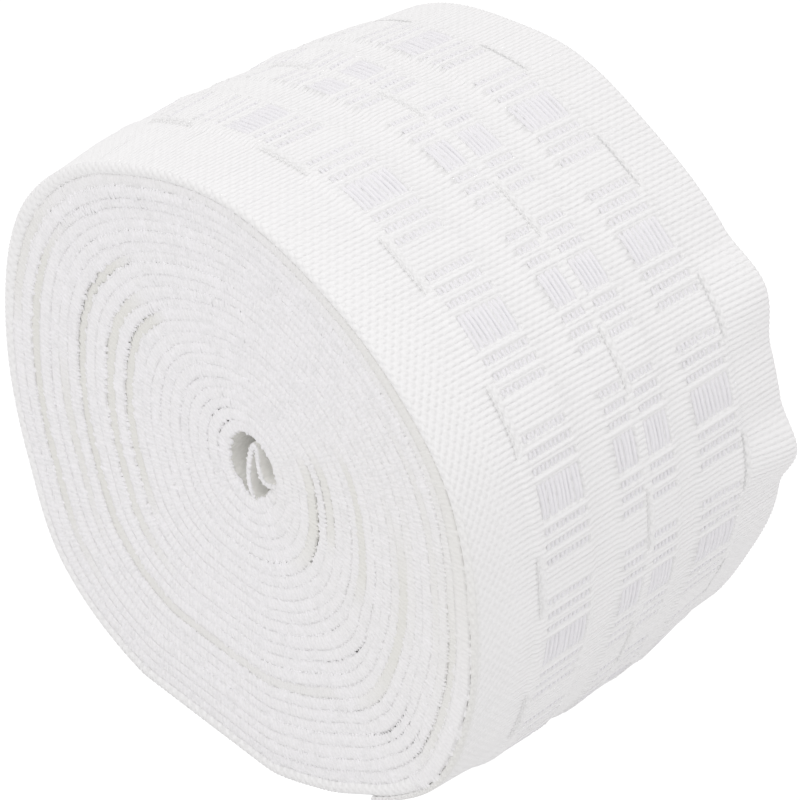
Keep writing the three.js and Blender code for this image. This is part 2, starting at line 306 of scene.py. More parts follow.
# Outside of the whole roll
def outsideAt(angle, across, waveShare):
    share = across / roll["width"]
    radius = nearRadius(angle) * (1 - share) + farRadius(angle) * share
    reach = smoothStep(across, roll["width"] - waveReach, roll["width"]) * waveShare
    for wave in edgeWaves:
        away = np.abs(angleFrom(angle, wave["angle"])) / wave["halfSpan"]
        radius = radius + wave["height"] * (1 - smoothStep(away, 0, 1)) * reach
    for swell in swells:
        away = angleFrom(angle, swell["angle"])
        away = np.where(away < 0, -away / swell["before"], away / swell["after"])
        radius = radius + betweenStops(across, swell["rows"], 1) * (1 - smoothStep(away, 0, 1))
    y = radius * np.cos(np.radians(angle))
    z = roll["axisHeight"] + radius * np.sin(np.radians(angle))
    z = (z + np.sqrt(z * z + roll["floorSoftness"] ** 2)) / 2
    return y, z


def hubAt(angle):
    y = roll["hubY"] + roll["hubRadiusY"] * np.cos(np.radians(angle))
    z = roll["hubZ"] + roll["hubRadiusZ"] * np.sin(np.radians(angle))
    return y, z


# Shift by the gaps at an angle: all of it, and what lies outside of this turn
def gapShifts(angle, turn):
    end = roll["endAngle"]
    total = -roll["endLift"] * smoothStep(angle, end - roll["liftSpan"], end)
    passed = total * (turn >= 1)
    for outside, isDeep, stops in turnGaps:
        shift = betweenStops(angle, stops, 1)
        total = total + shift
        passed = passed + shift * (turn >= outside)
    return total, passed


# Open width of the gap on the inner side of a turn, of all gaps and of the deep ones
def openAt(angle, turn):
    opened = np.zeros(np.shape(angle))
    deep = np.zeros(np.shape(angle))
    for outside, isDeep, stops in turnGaps:
        width = betweenStops(angle, stops, 2) * (turn + 1 == outside)
        opened = opened + width
        deep = deep + width * isDeep
    return opened, deep


# The wound tape: place of its outer surface and the room that each turn has there
def woundAt(turns, across):
    angle = roll["endAngle"] - 360 * turns
    turn = np.floor(turns)
    part = turns - turn
    waveShare = 1 - smoothStep(turns, *waveTurns)
    outY, outZ = outsideAt(angle, across, waveShare)
    hubY, hubZ = hubAt(angle)
    # the next turn comes up from below the loose end
    past = 360 * (1 - part)
    lift = roll["endLift"] / np.hypot(outY - hubY, outZ - hubZ)
    under = 1 / roll["turns"] - lift * (1 - 1 / roll["turns"])
    step = (1 - smoothStep(past, 0, roll["endFade"])) * under
    wayY = (outY - hubY) * (1 - step)
    wayZ = (outZ - hubZ) * (1 - step)
    way = np.sqrt(wayY ** 2 + wayZ ** 2)
    total, passed = gapShifts(roll["endAngle"] - 360 * part, turn)
    total, passed = total / way, passed / way
    pitch = way * (1 - total) / (roll["turns"] - part)
    along = lengthAt(turns)
    wobble = smoothNoise(along + across * roll["wobbleSkew"], roll["wobbleSpacing"], roll["seed"])
    wobble = wobble * roll["wobble"] * smoothStep(turns, *roll["wobbleTurns"])
    wobble = wobble * smoothStep(roll["turns"] - turns, 0, roll["wobbleEnd"])
    left = 1 - turn * (1 - total) / (roll["turns"] - part) - passed + wobble / way
    return hubY + wayY * left, hubZ + wayZ * left, pitch


# Thickness of the cloth: at the edges it leaves the gaps open, and further in the pockets fill them
def thicknessAt(turns, across, y, z, pitch):
    nextY, nextZ = woundAt(np.minimum(turns + 1, roll["turns"]), across)[:2]
    room = np.where(turns + 1 < roll["turns"], np.hypot(nextY - y, nextZ - z), pitch)
    turn = np.floor(turns)
    opened, deep = openAt(roll["endAngle"] - 360 * (turns - turn), turn)
    edge = np.maximum(room - opened, roll["thinnest"])
    filled = np.maximum(room - deep, roll["thinnest"])
    fromEdge = np.minimum(across, roll["width"] - across)
    return edge + (filled - edge) * smoothStep(fromEdge, roll["bulgeFrom"], roll["bulgeTo"])


# How deep the near edge lies by the list of sunk turns
def sunkAt(turns):
    turn = np.floor(turns)
    angle = roll["endAngle"] - 360 * (turns - turn)
    depth = np.zeros(np.shape(turns))
    for sunkTurn, stops in sunkTurns:
        depth = depth + betweenStops(angle, stops, 1) * (turn == sunkTurn)
    return depth


# Sideways slip of the turns: by chance, and at the near edge as listed
def slipAt(turns, across):
    along = lengthAt(turns)
    slipped = []
    for number, side in enumerate((slips["near"], slips["far"])):
        seed = roll["seed"] + 1 + 2 * number
        slow = smoothNoise(along, side["slow"], seed)
        quick = smoothNoise(along, side["quick"], seed + 1)
        slipped.append(side["size"] * (side["middle"] + slow + side["quickShare"] * quick))
    near = slipped[0] + roll["sunkShare"] * sunkAt(turns)
    share = smoothStep(across, *slips["across"])
    return (near * (1 - share) + slipped[1] * share) * smoothStep(turns, *slips["turns"])


# Smooth line through a list of points, evenly spaced
def smoothLine(points, spacing):
    points = np.array(points, float)
    ends = [2 * points[0] - points[1], *points, 2 * points[-1] - points[-2]]
    places = []
    for a, b, c, d in zip(ends, ends[1:], ends[2:], ends[3:]):
        for t in np.linspace(0, 1, 12, endpoint=False):
            bend = (2 * a - 5 * b + 4 * c - d) * t ** 2 + (3 * b - a - 3 * c + d) * t ** 3
            places.append((2 * b + (c - a) * t + bend) / 2)
    places = np.array(places + [points[-1]])
    length = np.concatenate([[0], np.cumsum(np.linalg.norm(np.diff(places, axis=0), axis=1))])
    wanted = np.linspace(0, length[-1], int(length[-1] / spacing) + 1)
    return np.column_stack([np.interp(wanted, length, places[:, k]) for k in range(2)])


# One ring round the tape's section: distance from the near edge and share of the thickness, from
# the outer surface inwards
def sectionRing(sizes, topStops):
    place = np.linspace(-1, 1, sizes["edgeSteps"])
    underStops = sizes["underStops"]
    nearAcross = sizes["edgeRound"] * place ** 2
    nearDepth = 0.5 + 0.5 * place
    across = [*nearAcross, *underStops, *(roll["width"] - nearAcross[::-1]), *topStops[::-1]]
    depth = [*nearDepth, *np.ones(len(underStops)), *nearDepth[::-1], *np.zeros(len(topStops))]
    return np.array(across), np.array(depth)


# Points of a sweep of the section along the tape, and the way inwards there: y and z are those of the
# outer surface
def sectionPoints(x, y, z, depth, thickness, relief):
    alongY = np.gradient(y, axis=0)
    alongZ = np.gradient(z, axis=0)
    size = np.sqrt(alongY ** 2 + alongZ ** 2)
    inY = alongZ / size
    inZ = -alongY / size
    sink = depth * thickness - relief
    return np.stack([x, y + inY * sink, z + inZ * sink], axis=-1), np.stack([inY, inZ], axis=-1)


def addObject(name, data):
    made = bpy.data.objects.new(name, data)
    bpy.context.scene.collection.objects.link(made)
    return made


# Mesh of a closed tube from a grid of points, steps by ring places, both ends capped
def tubeMesh(name, points, lengths, girth):
    steps, ringCount = points.shape[:2]
    index = np.arange(steps * ringCount).reshape(steps, ringCount)
    turned = np.roll(index, -1, axis=1)
    quads = np.stack([index[1:], turned[1:], turned[:-1], index[:-1]], axis=-1).reshape(-1, 4)
    caps = [index[0].tolist(), index[-1][::-1].tolist()]
    corners = np.zeros((steps, ringCount + 1, 2))
    corners[..., 0] = lengths
    corners[..., 1] = girth
    uv = np.stack([corners[1:, :-1], corners[1:, 1:], corners[:-1, 1:], corners[:-1, :-1]], axis=2)
    uv = np.concatenate([uv.reshape(-1, 2), corners[0, :-1], corners[-1, :-1][::-1]])
    mesh = bpy.data.meshes.new(name)
    mesh.from_pydata((points.reshape(-1, 3) * metre).tolist(), [], quads.tolist() + caps)
    layer = mesh.uv_layers.new(name="cloth")
    layer.data.foreach_set("uv", uv.ravel() * metre)
    mesh.polygons.foreach_set("use_smooth", [True] * len(mesh.polygons))
    mesh.update()
    return addObject(name, mesh)


# Stores a number or a vector for each point of a piece's mesh
def storeValues(piece, label, values, isVector=False):
    layer = piece.data.attributes.new(label, "FLOAT_VECTOR" if isVector else "FLOAT", "POINT")
    layer.data.foreach_set("vector" if isVector else "value", values.ravel().astype(np.float32))


# Distance round the ring, for the pattern across the tape
def ringGirth(across, depth, thickness):
    places = np.column_stack([across, depth * thickness])
    places = np.vstack([places, places[:1]])
    return np.concatenate([[0], np.cumsum(np.linalg.norm(np.diff(places, axis=0), axis=1))])


# Height of the woven pattern over the plain cloth, the share of plain ribs in it and their sway
def reliefAt(along, across):
    repeat = weave["repeat"]
    seed = roll["seed"] + 40
    ribPitch = repeat / weave["ribs"]
    shifted = across + weave["swayShift"] * clothNoise(along, across * 0, ribPitch, 1, seed + 2)
    sway = weave["ribSway"] * clothNoise(along, shifted, ribPitch, weave["swaySpacing"], seed)
    uneven = 1 + weave["ribUneven"] * clothNoise(along, across, *weave["unevenSpacing"], seed + 1)
    place = along - repeat * np.round(along / repeat)
    away = np.abs(place)
    inRow, inBlock, lips, mouths = np.zeros((4, *np.broadcast(along, across).shape))
    ramp = weave["rowRamp"]
    fade, start, stop = weave["slitFade"], weave["slitStart"], weave["slitStop"]
    opened = plateau(np.mod(along, repeat), start, start + fade, stop - fade, stop)
    fade, width = weave["blockFade"], weave["lipWidth"]
    for row in weave["rows"]:
        inRow = inRow + plateau(across, row["low"] - ramp, row["low"], row["high"], row["high"] + ramp)
        for low, high in row["blocks"]:
            inBlock = inBlock + plateau(across, low - fade, low, high, high + fade)
        past = across - row["slit"]
        lips = lips + plateau(past, -0.02, 0.12, width - 0.3, width + 0.3) * opened
        mouths = mouths + np.exp(-((past + 0.12) / weave["mouthHalf"]) ** 2) * (past < 0.05) * opened
    floats = 1 - smoothStep(away, weave["blockHalf"] - 0.4, weave["blockHalf"] + 0.4)
    bars, ridges = np.zeros((2, *away.shape))
    for middle in weave["barRows"]:
        bars = bars + 1 - smoothStep(np.abs(away - middle), weave["barHalf"] - 0.3, weave["barHalf"] + 0.15)
    for middle in weave["ridges"]:
        ridges = ridges + np.exp(-((away - middle) / weave["ridgeHalf"]) ** 2)
    plain = (1 - inBlock * np.clip(floats + bars, 0, 1)) * (1 - lips)
    front = smoothStep(along, weave["frontFrom"], weave["frontTo"])
    left = weave["marginRibs"] * (1 - front) + weave["frontRibs"] * front
    plain = plain * (left + (1 - left) * smoothStep(across, *weave["marginFade"]))
    ribs = np.cos(2 * np.pi * (place + sway) * weave["ribs"] / repeat)
    ribs = weave["ribHeight"] * ribs * uneven * plain
    woven = inBlock * (weave["ridgeHeight"] * ridges - weave["blockDip"] * floats - weave["barDip"] * bars)
    slits = weave["lipRise"] * lips - weave["mouthDip"] * mouths
    return ribs + weave["rowRise"] * inRow + woven + slits, plain, sway


# Length of tape from the pattern's start to an angle, along the middle of the outer turn
patternAngles = np.linspace(-200, 300, 2001)
patternY, patternZ = outsideAt(patternAngles, roll["width"] / 2, 0)
patternSteps = np.hypot(np.diff(patternY), np.diff(patternZ))
patternLengths = np.concatenate([[0], np.cumsum(patternSteps)])
patternLengths = patternLengths - np.interp(weave["startAngle"], patternAngles, patternLengths)


def patternLength(angle):
    return np.interp(angle, patternAngles, patternLengths)


# The whole tape but its outer turn, down to the tongue in the core
wound = {
    "firstTurn": 1.04,
    "degrees": 2.6,
    "topStops": [0.4, 1.3, 30, 59, 64, 69, 73.7, 74.6],
    "underStops": [0.4, 0.8, 1.3, 3.2, 40, 59, 67, 73.7, 74.6],
    "edgeRound": 0.1,
    "edgeSteps": 5,
    "tongueSpacing": 0.45,
    "tongueTurn": 50,        # length of tape in a turn there
    "tongueTaper": 12,       # steps in which it thins
    "coreSlip": 0.5,
    "coreTurns": 1.15,       # turns that show inside the core
    "coreFrom": 0.3,         # the core's painted light starts this far from the near edge
    "sunkShadeReach": 3,          # and the painted shade of the sunk turns ends this far from it
    "girthThickness": 1.7,
}


def buildWoundTape():
    across, depth = sectionRing(wound, wound["topStops"])
    turns = np.arange(wound["firstTurn"], roll["turns"], wound["degrees"] / 360)[:, None]
    y, z, pitch = woundAt(turns, across[None, :])
    thickness = thicknessAt(turns, across[None, :], y, z, pitch)
    # the tongue leaves the innermost turn and is thinner
    middle = np.column_stack([y.mean(axis=1), z.mean(axis=1)])
    inward = middle[-1] - middle[-3]
    inward = np.array([inward[1], -inward[0]]) / np.hypot(*inward)
    half = thickness[-1].min() / 2
    tongue = smoothLine([middle[-1] + inward * half, *tongueRoute], wound["tongueSpacing"])[1:]
    heading = np.gradient(tongue, axis=0)
    heading = heading / np.linalg.norm(heading, axis=1)[:, None]
    taper = smoothStep(np.arange(len(tongue)), 0, wound["tongueTaper"])
    slim = half * 2 + (roll["tongueThickness"] - half * 2) * taper
    outer = tongue - np.column_stack([heading[:, 1], -heading[:, 0]]) * slim[:, None] / 2
    ring = np.ones(len(across))
    y = np.vstack([y, outer[:, :1] * ring])
    z = np.vstack([z, outer[:, 1:] * ring])
    thickness = np.vstack([thickness, slim[:, None] * ring])
    lastTurns = np.arange(1, len(tongue) + 1) * wound["tongueSpacing"] / wound["tongueTurn"]
    turns = np.concatenate([turns[:, 0], turns[-1, 0] + lastTurns])
    slip = slipAt(turns[:, None], across[None, :])
    slip = slip + wound["coreSlip"] * smoothStep(turns, roll["turns"] - 0.1, roll["turns"])[:, None]
    x = across[None, :] - roll["width"] / 2 + slip
    points, inwards = sectionPoints(x, y, z, depth[None, :], thickness, 0)
    girth = ringGirth(across, depth, wound["girthThickness"])
    piece = tubeMesh("woundTape", points, lengthAt(turns)[:, None], girth)
    # Painted shade at the near edge of the sunk turns, stored as deep
    storeValues(piece, "deep", sunkShadeShare(turns)[:, None] * (across[None, :] < wound["sunkShadeReach"]))
    # Painted light: the turns that show inside the core are made lighter
    core = smoothStep(turns, roll["turns"] - wound["coreTurns"], roll["turns"] - 1)
    storeValues(piece, "core", core[:, None] * (across[None, :] > wound["coreFrom"]))
    edge = {"turns": turns, "x": x, "y": y, "z": z, "thickness": thickness, "in": inwards}
    return piece, edge, across


# The outer turn, with its woven pattern
outer = {
    "lastTurn": 1.046,
    "spacing": 0.3,
    "edgeRound": 0.45,
    "edgeSteps": 6,
    "endThickness": 0.9,
    "topStops": [0.8, 1.6, 3.2, 6.0, 9.0, 12.0, 31.0, 51.0, 67.0, 70.0, 72.5, 74.2],
    "slitSteps": [-0.9, -0.28, -0.13, 0.0, 0.13, 1.1, 1.7],
    "underStops": [0.8, 1.5, 25, 55, 73.9],
    "closestStops": 0.09,
    "endTaper": 0.03,        # turns over which the loose end thickens
    "patternStop": (0.965, 0.985),
    "underWeave": 0.3,       # share of the woven pattern's shading below the surface
    "girthThickness": 1.9,
    "rimStops": [(148, 0), (172, 0.5), (205, 0.7), (222, 0.3), (232.8, 0)],
    "rimWidth": 1.5,
    "rimSlip": 0.3,          # how far the shaded rim lies back
}


def outerTopStops():
    stops = list(outer["topStops"])
    for row in weave["rows"]:
        low, high, slit = row["low"], row["high"], row["slit"]
        stops += [low - weave["rowRamp"], high + weave["rowRamp"], high]
        stops += [slit + step for step in outer["slitSteps"]]
        for blockLow, blockHigh in row["blocks"]:
            stops += [blockLow - weave["blockFade"], blockLow, (blockLow + blockHigh) / 2, blockHigh]
            stops += [blockHigh + weave["blockFade"]]
    stops = np.array(sorted(stops))
    keep = np.concatenate([[True], np.diff(stops) > outer["closestStops"]])
    return stops[keep]


def buildOuterTurn():
    across, depth = (values[None, :] for values in sectionRing(outer, outerTopStops()))
    steps = int(2 * np.pi * roll["outerRadius"] * outer["lastTurn"] / outer["spacing"])
    turns = np.linspace(0, outer["lastTurn"], steps)[:, None]
    angle = roll["endAngle"] - 360 * turns
    along = patternLength(angle)
    y, z, pitch = woundAt(turns, across)
    full = thicknessAt(turns, across, y, z, pitch)
    taper = smoothStep(turns, 0, outer["endTaper"])
    thickness = outer["endThickness"] + (full - outer["endThickness"]) * taper
    relief, plain, ribSway = reliefAt(along, across)
    relief = relief * (1 - smoothStep(turns, *outer["patternStop"])) * np.clip(1 - 2 * depth, 0, 1)
    x = np.repeat(across - roll["width"] / 2, steps, axis=0)
    for number, row in enumerate(weave["rows"]):
        sway = weave["slitWave"] * smoothNoise(along, weave["slitWaveSpacing"], roll["seed"] + 20 + number)
        away = (across - row["slit"]) / weave["slitWaveReach"]
        x = x + sway * np.exp(-away ** 2) * (depth == 0)
    # The rim of the near edge lies back low on the front, and shade is painted on it there
    rim = betweenStops(angle, outer["rimStops"], 1) * (turns < 1)
    rim = rim * (1 - smoothStep(across, 0, outer["rimWidth"]))
    x = x + rim * outer["rimSlip"]
    points = sectionPoints(x, y, z, depth, thickness, relief)[0]
    points[..., 2] = np.maximum(points[..., 2], 0)
    lengths = along + np.column_stack([ribSway, ribSway[:, :1]])
    girth = ringGirth(across[0], depth[0], outer["girthThickness"])
    piece = tubeMesh("outerTurn", points, lengths, girth)
    storeValues(piece, "plainWeave", plain * np.where(depth == 0, 1, outer["underWeave"]))
    # Painted shade on the rim that lies back
    storeValues(piece, "deep", rim)
    return piece


# Shader maths: an expression on a signal adds its Math node
class Signal:
    def __init__(self, tree, socket):
        self.tree = tree
        self.socket = socket

    def math(self, operation, first, second=None):
        inputs = {0: first} if second is None else {0: first, 1: second}
        return addNode(self.tree, "ShaderNodeMath", {"operation": operation}, inputs)

    def __add__(self, other):
        return self.math("ADD", self, other)

    def __sub__(self, other):
        return self.math("SUBTRACT", self, other)

    def __rsub__(self, other):
        return self.math("SUBTRACT", other, self)

    def __mul__(self, other):
        return self.math("MULTIPLY", self, other)

    def cosine(self):
        return self.math("COSINE", self)

    def size(self):
        return self.math("ABSOLUTE", self)

    def clamped(self):
        return addNode(self.tree, "ShaderNodeClamp", {}, {"Value": self})


def addNode(tree, kind, settings, inputs, output=0):
    node = tree.nodes.new(kind)
    for name, value in settings.items():
        setattr(node, name, value)
    for name, value in inputs.items():
        if isinstance(value, Signal):
            tree.links.new(value.socket, node.inputs[name])
        else:
            node.inputs[name].default_value = value
    return Signal(tree, node.outputs[output])


def mixColours(tree, share, first, second):
    return addNode(tree, "ShaderNodeMix", {"data_type": "RGBA"}, {"Factor": share, 6: first, 7: second}, 2)


# A number stored on the piece's points
def storedSignal(tree, label):
    return addNode(tree, "ShaderNodeAttribute", {"attribute_name": label}, {}, 2)


def newMaterial(name, roughness, sheen):
    material = bpy.data.materials.new(name)
    material.use_nodes = True
    tree = material.node_tree
    shader = tree.nodes["Principled BSDF"]
    shader.inputs["Roughness"].default_value = roughness
    shader.inputs["Specular IOR Level"].default_value = 0.25
    shader.inputs["Sheen Weight"].default_value = sheen
    shader.inputs["Sheen Roughness"].default_value = 0.6
    return material, tree, shader


def noiseSignal(tree, scale, detail):
    place = addNode(tree, "ShaderNodeTexCoord", {}, {}, 3)
    return addNode(tree, "ShaderNodeTexNoise", {}, {"Vector": place, "Scale": scale, "Detail": detail})


def bumpFrom(tree, height):
    return addNode(tree, "ShaderNodeBump", {}, {"Height": height, "Strength": 1.0, "Distance": metre})


cloth = {
    "colour": (0.89, 0.89, 0.886, 1),
    # painted shade in the hollows of the outer turn's weave
    "hollowShadeColour": (0.82, 0.82, 0.81, 1),
    "woundColour": (0.875, 0.87, 0.875, 1),
    # painted shade in the hollows of the wound turns' weave
    "woundHollowShade": (0.79, 0.79, 0.78, 1),
    # painted light inside the core
    "coreLightColour": (0.985, 0.98, 0.945, 1),
    "roughness": 0.92,
    "sheen": 0.1,
    "ribBump": 0.12,
    "checkBump": 0.045,
    "marginBump": 0.09,
    "woundBump": 0.5,        # share of the bumps on the wound turns
    "fibreBump": 0.05,
    "fibreScale": 1500,
    "patchScale": 60,
    "patchShade": 0.35,
    "ribShade": -0.6,
    "checkShade": 0.15,
    "middleShade": 0.5,
    "basketShade": 0.9,
    "fibreShade": 1.2,
    "marginShade": -0.35,
}


# Woven cloth: ribs along the weft, a check of warp and weft, and fine fibres, with shade painted into
# the colour in the hollows of the weave. Only the outer turn has the pattern, so its ribs, its basket of
# the margins and their painted shade go by how plain the weave is.
def clothMaterial(name, patterned):
    material, tree, shader = newMaterial(name, cloth["roughness"], cloth["sheen"])
    uv = addNode(tree, "ShaderNodeUVMap", {"uv_map": "cloth"}, {})
    parts = addNode(tree, "ShaderNodeSeparateXYZ", {}, {"Vector": uv})
    along = parts * (2 * np.pi * weave["ribs"] / weave["repeat"] / metre)
    across = Signal(tree, parts.socket.node.outputs[1]) * (np.pi / weave["warpPitch"] / metre)
    ribs = (along * 0.5).cosine().size()
    check = (along * 0.5).cosine() * across.cosine()
    fibres = noiseSignal(tree, cloth["fibreScale"], 3)
    # Painted shade: darker in the hollows between the ribs and the threads of the check
    paintedShade = (ribs + check * cloth["checkShade"]) * cloth["ribShade"] + cloth["middleShade"]
    light, dark = cloth["woundColour"], cloth["woundHollowShade"]
    if patterned:
        light, dark = cloth["colour"], cloth["hollowShadeColour"]
        share = storedSignal(tree, "plainWeave")
        basket = (1 - share) * cloth["marginBump"] + cloth["checkBump"]
        woven = ribs * share * cloth["ribBump"] + check * basket
        # Where the weave isn't plain, the painted shade follows the basket's check and the fibres
        basket = (check * cloth["basketShade"] + cloth["fibreShade"]) * fibres + cloth["marginShade"]
        paintedShade = paintedShade * share + (1 - share) * basket
    else:
        woven = (ribs * cloth["ribBump"] + check * cloth["checkBump"]) * cloth["woundBump"]
    height = woven + fibres * cloth["fibreBump"]
    patches = noiseSignal(tree, cloth["patchScale"], 2)
    shade = (paintedShade + (patches - 0.5) * cloth["patchShade"]).clamped()
    colour = mixColours(tree, shade, light, dark)
    # Painted shade on the near edge of the sunk turns, and on the rim of the outer turn that lies back
    colour = mixColours(tree, storedSignal(tree, "deep"), colour, yarn["sunkShadeColour"])
    # Painted light inside the core
    if not patterned:
        colour = mixColours(tree, storedSignal(tree, "core"), colour, cloth["coreLightColour"])
    tree.links.new(colour.socket, shader.inputs["Base Color"])
    tree.links.new(bumpFrom(tree, height).socket, shader.inputs["Normal"])
    return material


yarn = {
    "colour": (0.863, 0.857, 0.875, 1),
    "shadeColour": (0.82, 0.815, 0.832, 1),
    "selvedgeColour": (0.905, 0.898, 0.912, 1),
    "selvedgeShade": (0.765, 0.765, 0.765, 1),
    # painted shade of the sunk turns and of the rim that lies back
    "sunkShadeColour": (0.775, 0.773, 0.735, 1),
    "roughness": 0.72,
    "sheen": 0.15,
    "bump": 0.08,
    "scale": 1500,
    "patchScale": 520,
    "patchShade": 1.2,
    "fibreShade": 1.4,
    "middleShade": -0.8,
}


def yarnMaterial(name, colour, shadeColour, withSunkShade):
    material, tree, shader = newMaterial(name, yarn["roughness"], yarn["sheen"])
    fibres = noiseSignal(tree, yarn["scale"], 3)
    patches = noiseSignal(tree, yarn["patchScale"], 2)
    share = patches * yarn["patchShade"] + fibres * yarn["fibreShade"] + yarn["middleShade"]
    mixed = mixColours(tree, share.clamped(), colour, shadeColour)
    # Painted shade of the sunk turns, on the loops of the near edge
    if withSunkShade:
        mixed = mixColours(tree, storedSignal(tree, "deep"), mixed, yarn["sunkShadeColour"])
    tree.links.new(mixed.socket, shader.inputs["Base Color"])
    tree.links.new(bumpFrom(tree, fibres * yarn["bump"]).socket, shader.inputs["Normal"])
    return material


# A Geometry Nodes tree with named number inputs, ending in Realize Instances and Set Material
class Tree:
    def __init__(self, name, sizes):
        self.tree = bpy.data.node_groups.new(name, "GeometryNodeTree")
        face = self.tree.interface
        face.new_socket("Geometry", in_out="OUTPUT", socket_type="NodeSocketGeometry")
        face.new_socket("Geometry", in_out="INPUT", socket_type="NodeSocketGeometry")
        self.inputs = {}
        for label, value in sizes.items():
            kind = "NodeSocketInt" if isinstance(value, int) else "NodeSocketFloat"
            self.inputs[label] = (face.new_socket(label, in_out="INPUT", socket_type=kind), value)
        self.source = self.tree.nodes.new("NodeGroupInput")

    # An input of the tree: the geometry or a size
    def size(self, label):
        return Signal(self.tree, self.source.outputs[label])

    def node(self, kind, settings, inputs, output=0):
        return addNode(self.tree, kind, settings, inputs, output)

    def attribute(self, name, kind):
        return self.node("GeometryNodeInputNamedAttribute", {"data_type": kind}, {"Name": name})

    # Runs the tree on a piece and leaves a plain mesh
    def run(self, piece, geometry, material, rounded):
        whole = self.node("GeometryNodeRealizeInstances", {}, {"Geometry": geometry})
        smooth = self.node("GeometryNodeSetShadeSmooth", {}, {"Geometry": whole, "Shade Smooth": rounded})
        finished = self.node("GeometryNodeSetMaterial", {}, {"Geometry": smooth, "Material": material})
        target = self.tree.nodes.new("NodeGroupOutput")
        self.tree.links.new(finished.socket, target.inputs["Geometry"])
        modifier = piece.modifiers.new("grown", "NODES")
        modifier.node_group = self.tree
        for socket, value in self.inputs.values():
            modifier[socket.identifier] = value
        bpy.context.view_layer.update()
        grown = piece.evaluated_get(bpy.context.evaluated_depsgraph_get())
        mesh = bpy.data.meshes.new_from_object(grown)
        piece.modifiers.remove(modifier)
        piece.data = mesh
        return piece


def pointPiece(name, places, edges, attributes):
    mesh = bpy.data.meshes.new(name)
    mesh.from_pydata((places * metre).tolist(), edges, [])
    piece = addObject(name, mesh)
    for label, values in attributes.items():
        storeValues(piece, label, values, values.ndim == 2)
    return piece


# Warp threads that lie over the cloth: long ones in the blocks and short bars between the ridges
floats = {
    "pitch": 0.97,
    "sides": 6,
    "long": {"radius": 0.47, "points": 9, "overhang": 0.45, "sway": 0.14, "dive": 0.5, "power": 6},
    "bar": {"radius": 0.33, "points": 4, "overhang": 0.2, "sway": 0.06, "dive": 0.3, "power": 3},
    "uneven": 0.1,           # in thickness
    "bow": 1.3,              # over the sway
    "stray": 0.08,           # along the tape
    "heightSway": 0.05,
    "rest": 0.06,            # how deep the threads lie below the top of the row
    "bedShare": 0.9,         # of their radius, deeper still
    "turnStep": 0.0005,      # to find the way along the tape
    "seed": 5,
}


# Where threads start and stop along the tape, in every repeat of the outer turn
def threadSpans():
    repeat = weave["repeat"]
    first = patternLength(roll["endAngle"] - 350)
    last = patternLength(roll["endAngle"])
    spans = []
    for number in range(int(np.floor(first / repeat)), int(np.ceil(last / repeat)) + 1):
        spans.append((number * repeat, weave["blockHalf"], floats["long"]))
        for middle in weave["barRows"]:
            spans += [(number * repeat + side * middle, weave["barHalf"], floats["bar"]) for side in (-1, 1)]
    spans = [(middle, half + kind["overhang"], kind) for middle, half, kind in spans]
    return [span for span in spans if first < span[0] - span[1] and span[0] + span[1] < last]


def buildFloats(material):
    rng = np.random.default_rng(floats["seed"])
    blocks = [block for row in weave["rows"] for block in row["blocks"]]
    rows, edges = [], []
    count = 0
    for middle, half, kind in threadSpans():
        t = np.linspace(-1, 1, kind["points"])
        dive = np.abs(t) ** kind["power"] * kind["dive"]
        for low, high in blocks:
            threads = int(round((high - low) / floats["pitch"]))
            pitch = (high - low) / threads
            for k in range(threads):
                radius = kind["radius"] * rng.uniform(1 - floats["uneven"], 1 + floats["uneven"])
                lean = rng.uniform(-1, 1) * kind["sway"]
                bow = rng.uniform(-1, 1) * kind["sway"] * floats["bow"]
                along = middle + t * half + rng.uniform(-floats["stray"], floats["stray"])
                across = low + (k + 0.5) * pitch + lean * t + bow * (1 - t * t)
                lift = rng.uniform(-1, 1) * floats["heightSway"]
                sink = floats["rest"] + radius * floats["bedShare"] + dive - lift
                rows.append([along, across, sink, t * 0 + radius])
                edges += [(count + i, count + i + 1) for i in range(len(t) - 1)]
                count += len(t)
    along, across, sink, radius = np.concatenate(rows, axis=1)
    angle = np.interp(along, patternLengths, patternAngles)
    turns = (roll["endAngle"] - angle) / 360
    y, z = woundAt(turns, across)[:2]
    nextY, nextZ = woundAt(turns + floats["turnStep"], across)[:2]
    depth = (sink - weave["rowRise"]) / np.hypot(nextY - y, nextZ - z)
    y, z = y + (nextZ - z) * depth, np.maximum(z - (nextY - y) * depth, radius)
    places = np.column_stack([across - roll["width"] / 2, y, z])
    piece = pointPiece("threadFloats", places, edges, {"yarnRadius": radius * metre})
    tree = Tree("sweepYarn", {"Sides": floats["sides"]})
    line = tree.node("GeometryNodeMeshToCurve", {}, {"Mesh": tree.size("Geometry")})
    ringSizes = {"Resolution": tree.size("Sides"), "Radius": 1.0}
    ring = tree.node("GeometryNodeCurvePrimitiveCircle", {}, ringSizes)
    radius = tree.attribute("yarnRadius", "FLOAT")
    sweep = {"Curve": line, "Profile Curve": ring, "Scale": radius, "Fill Caps": True}
    tube = tree.node("GeometryNodeCurveToMesh", {}, sweep)
    return tree.run(piece, tube, material, True)


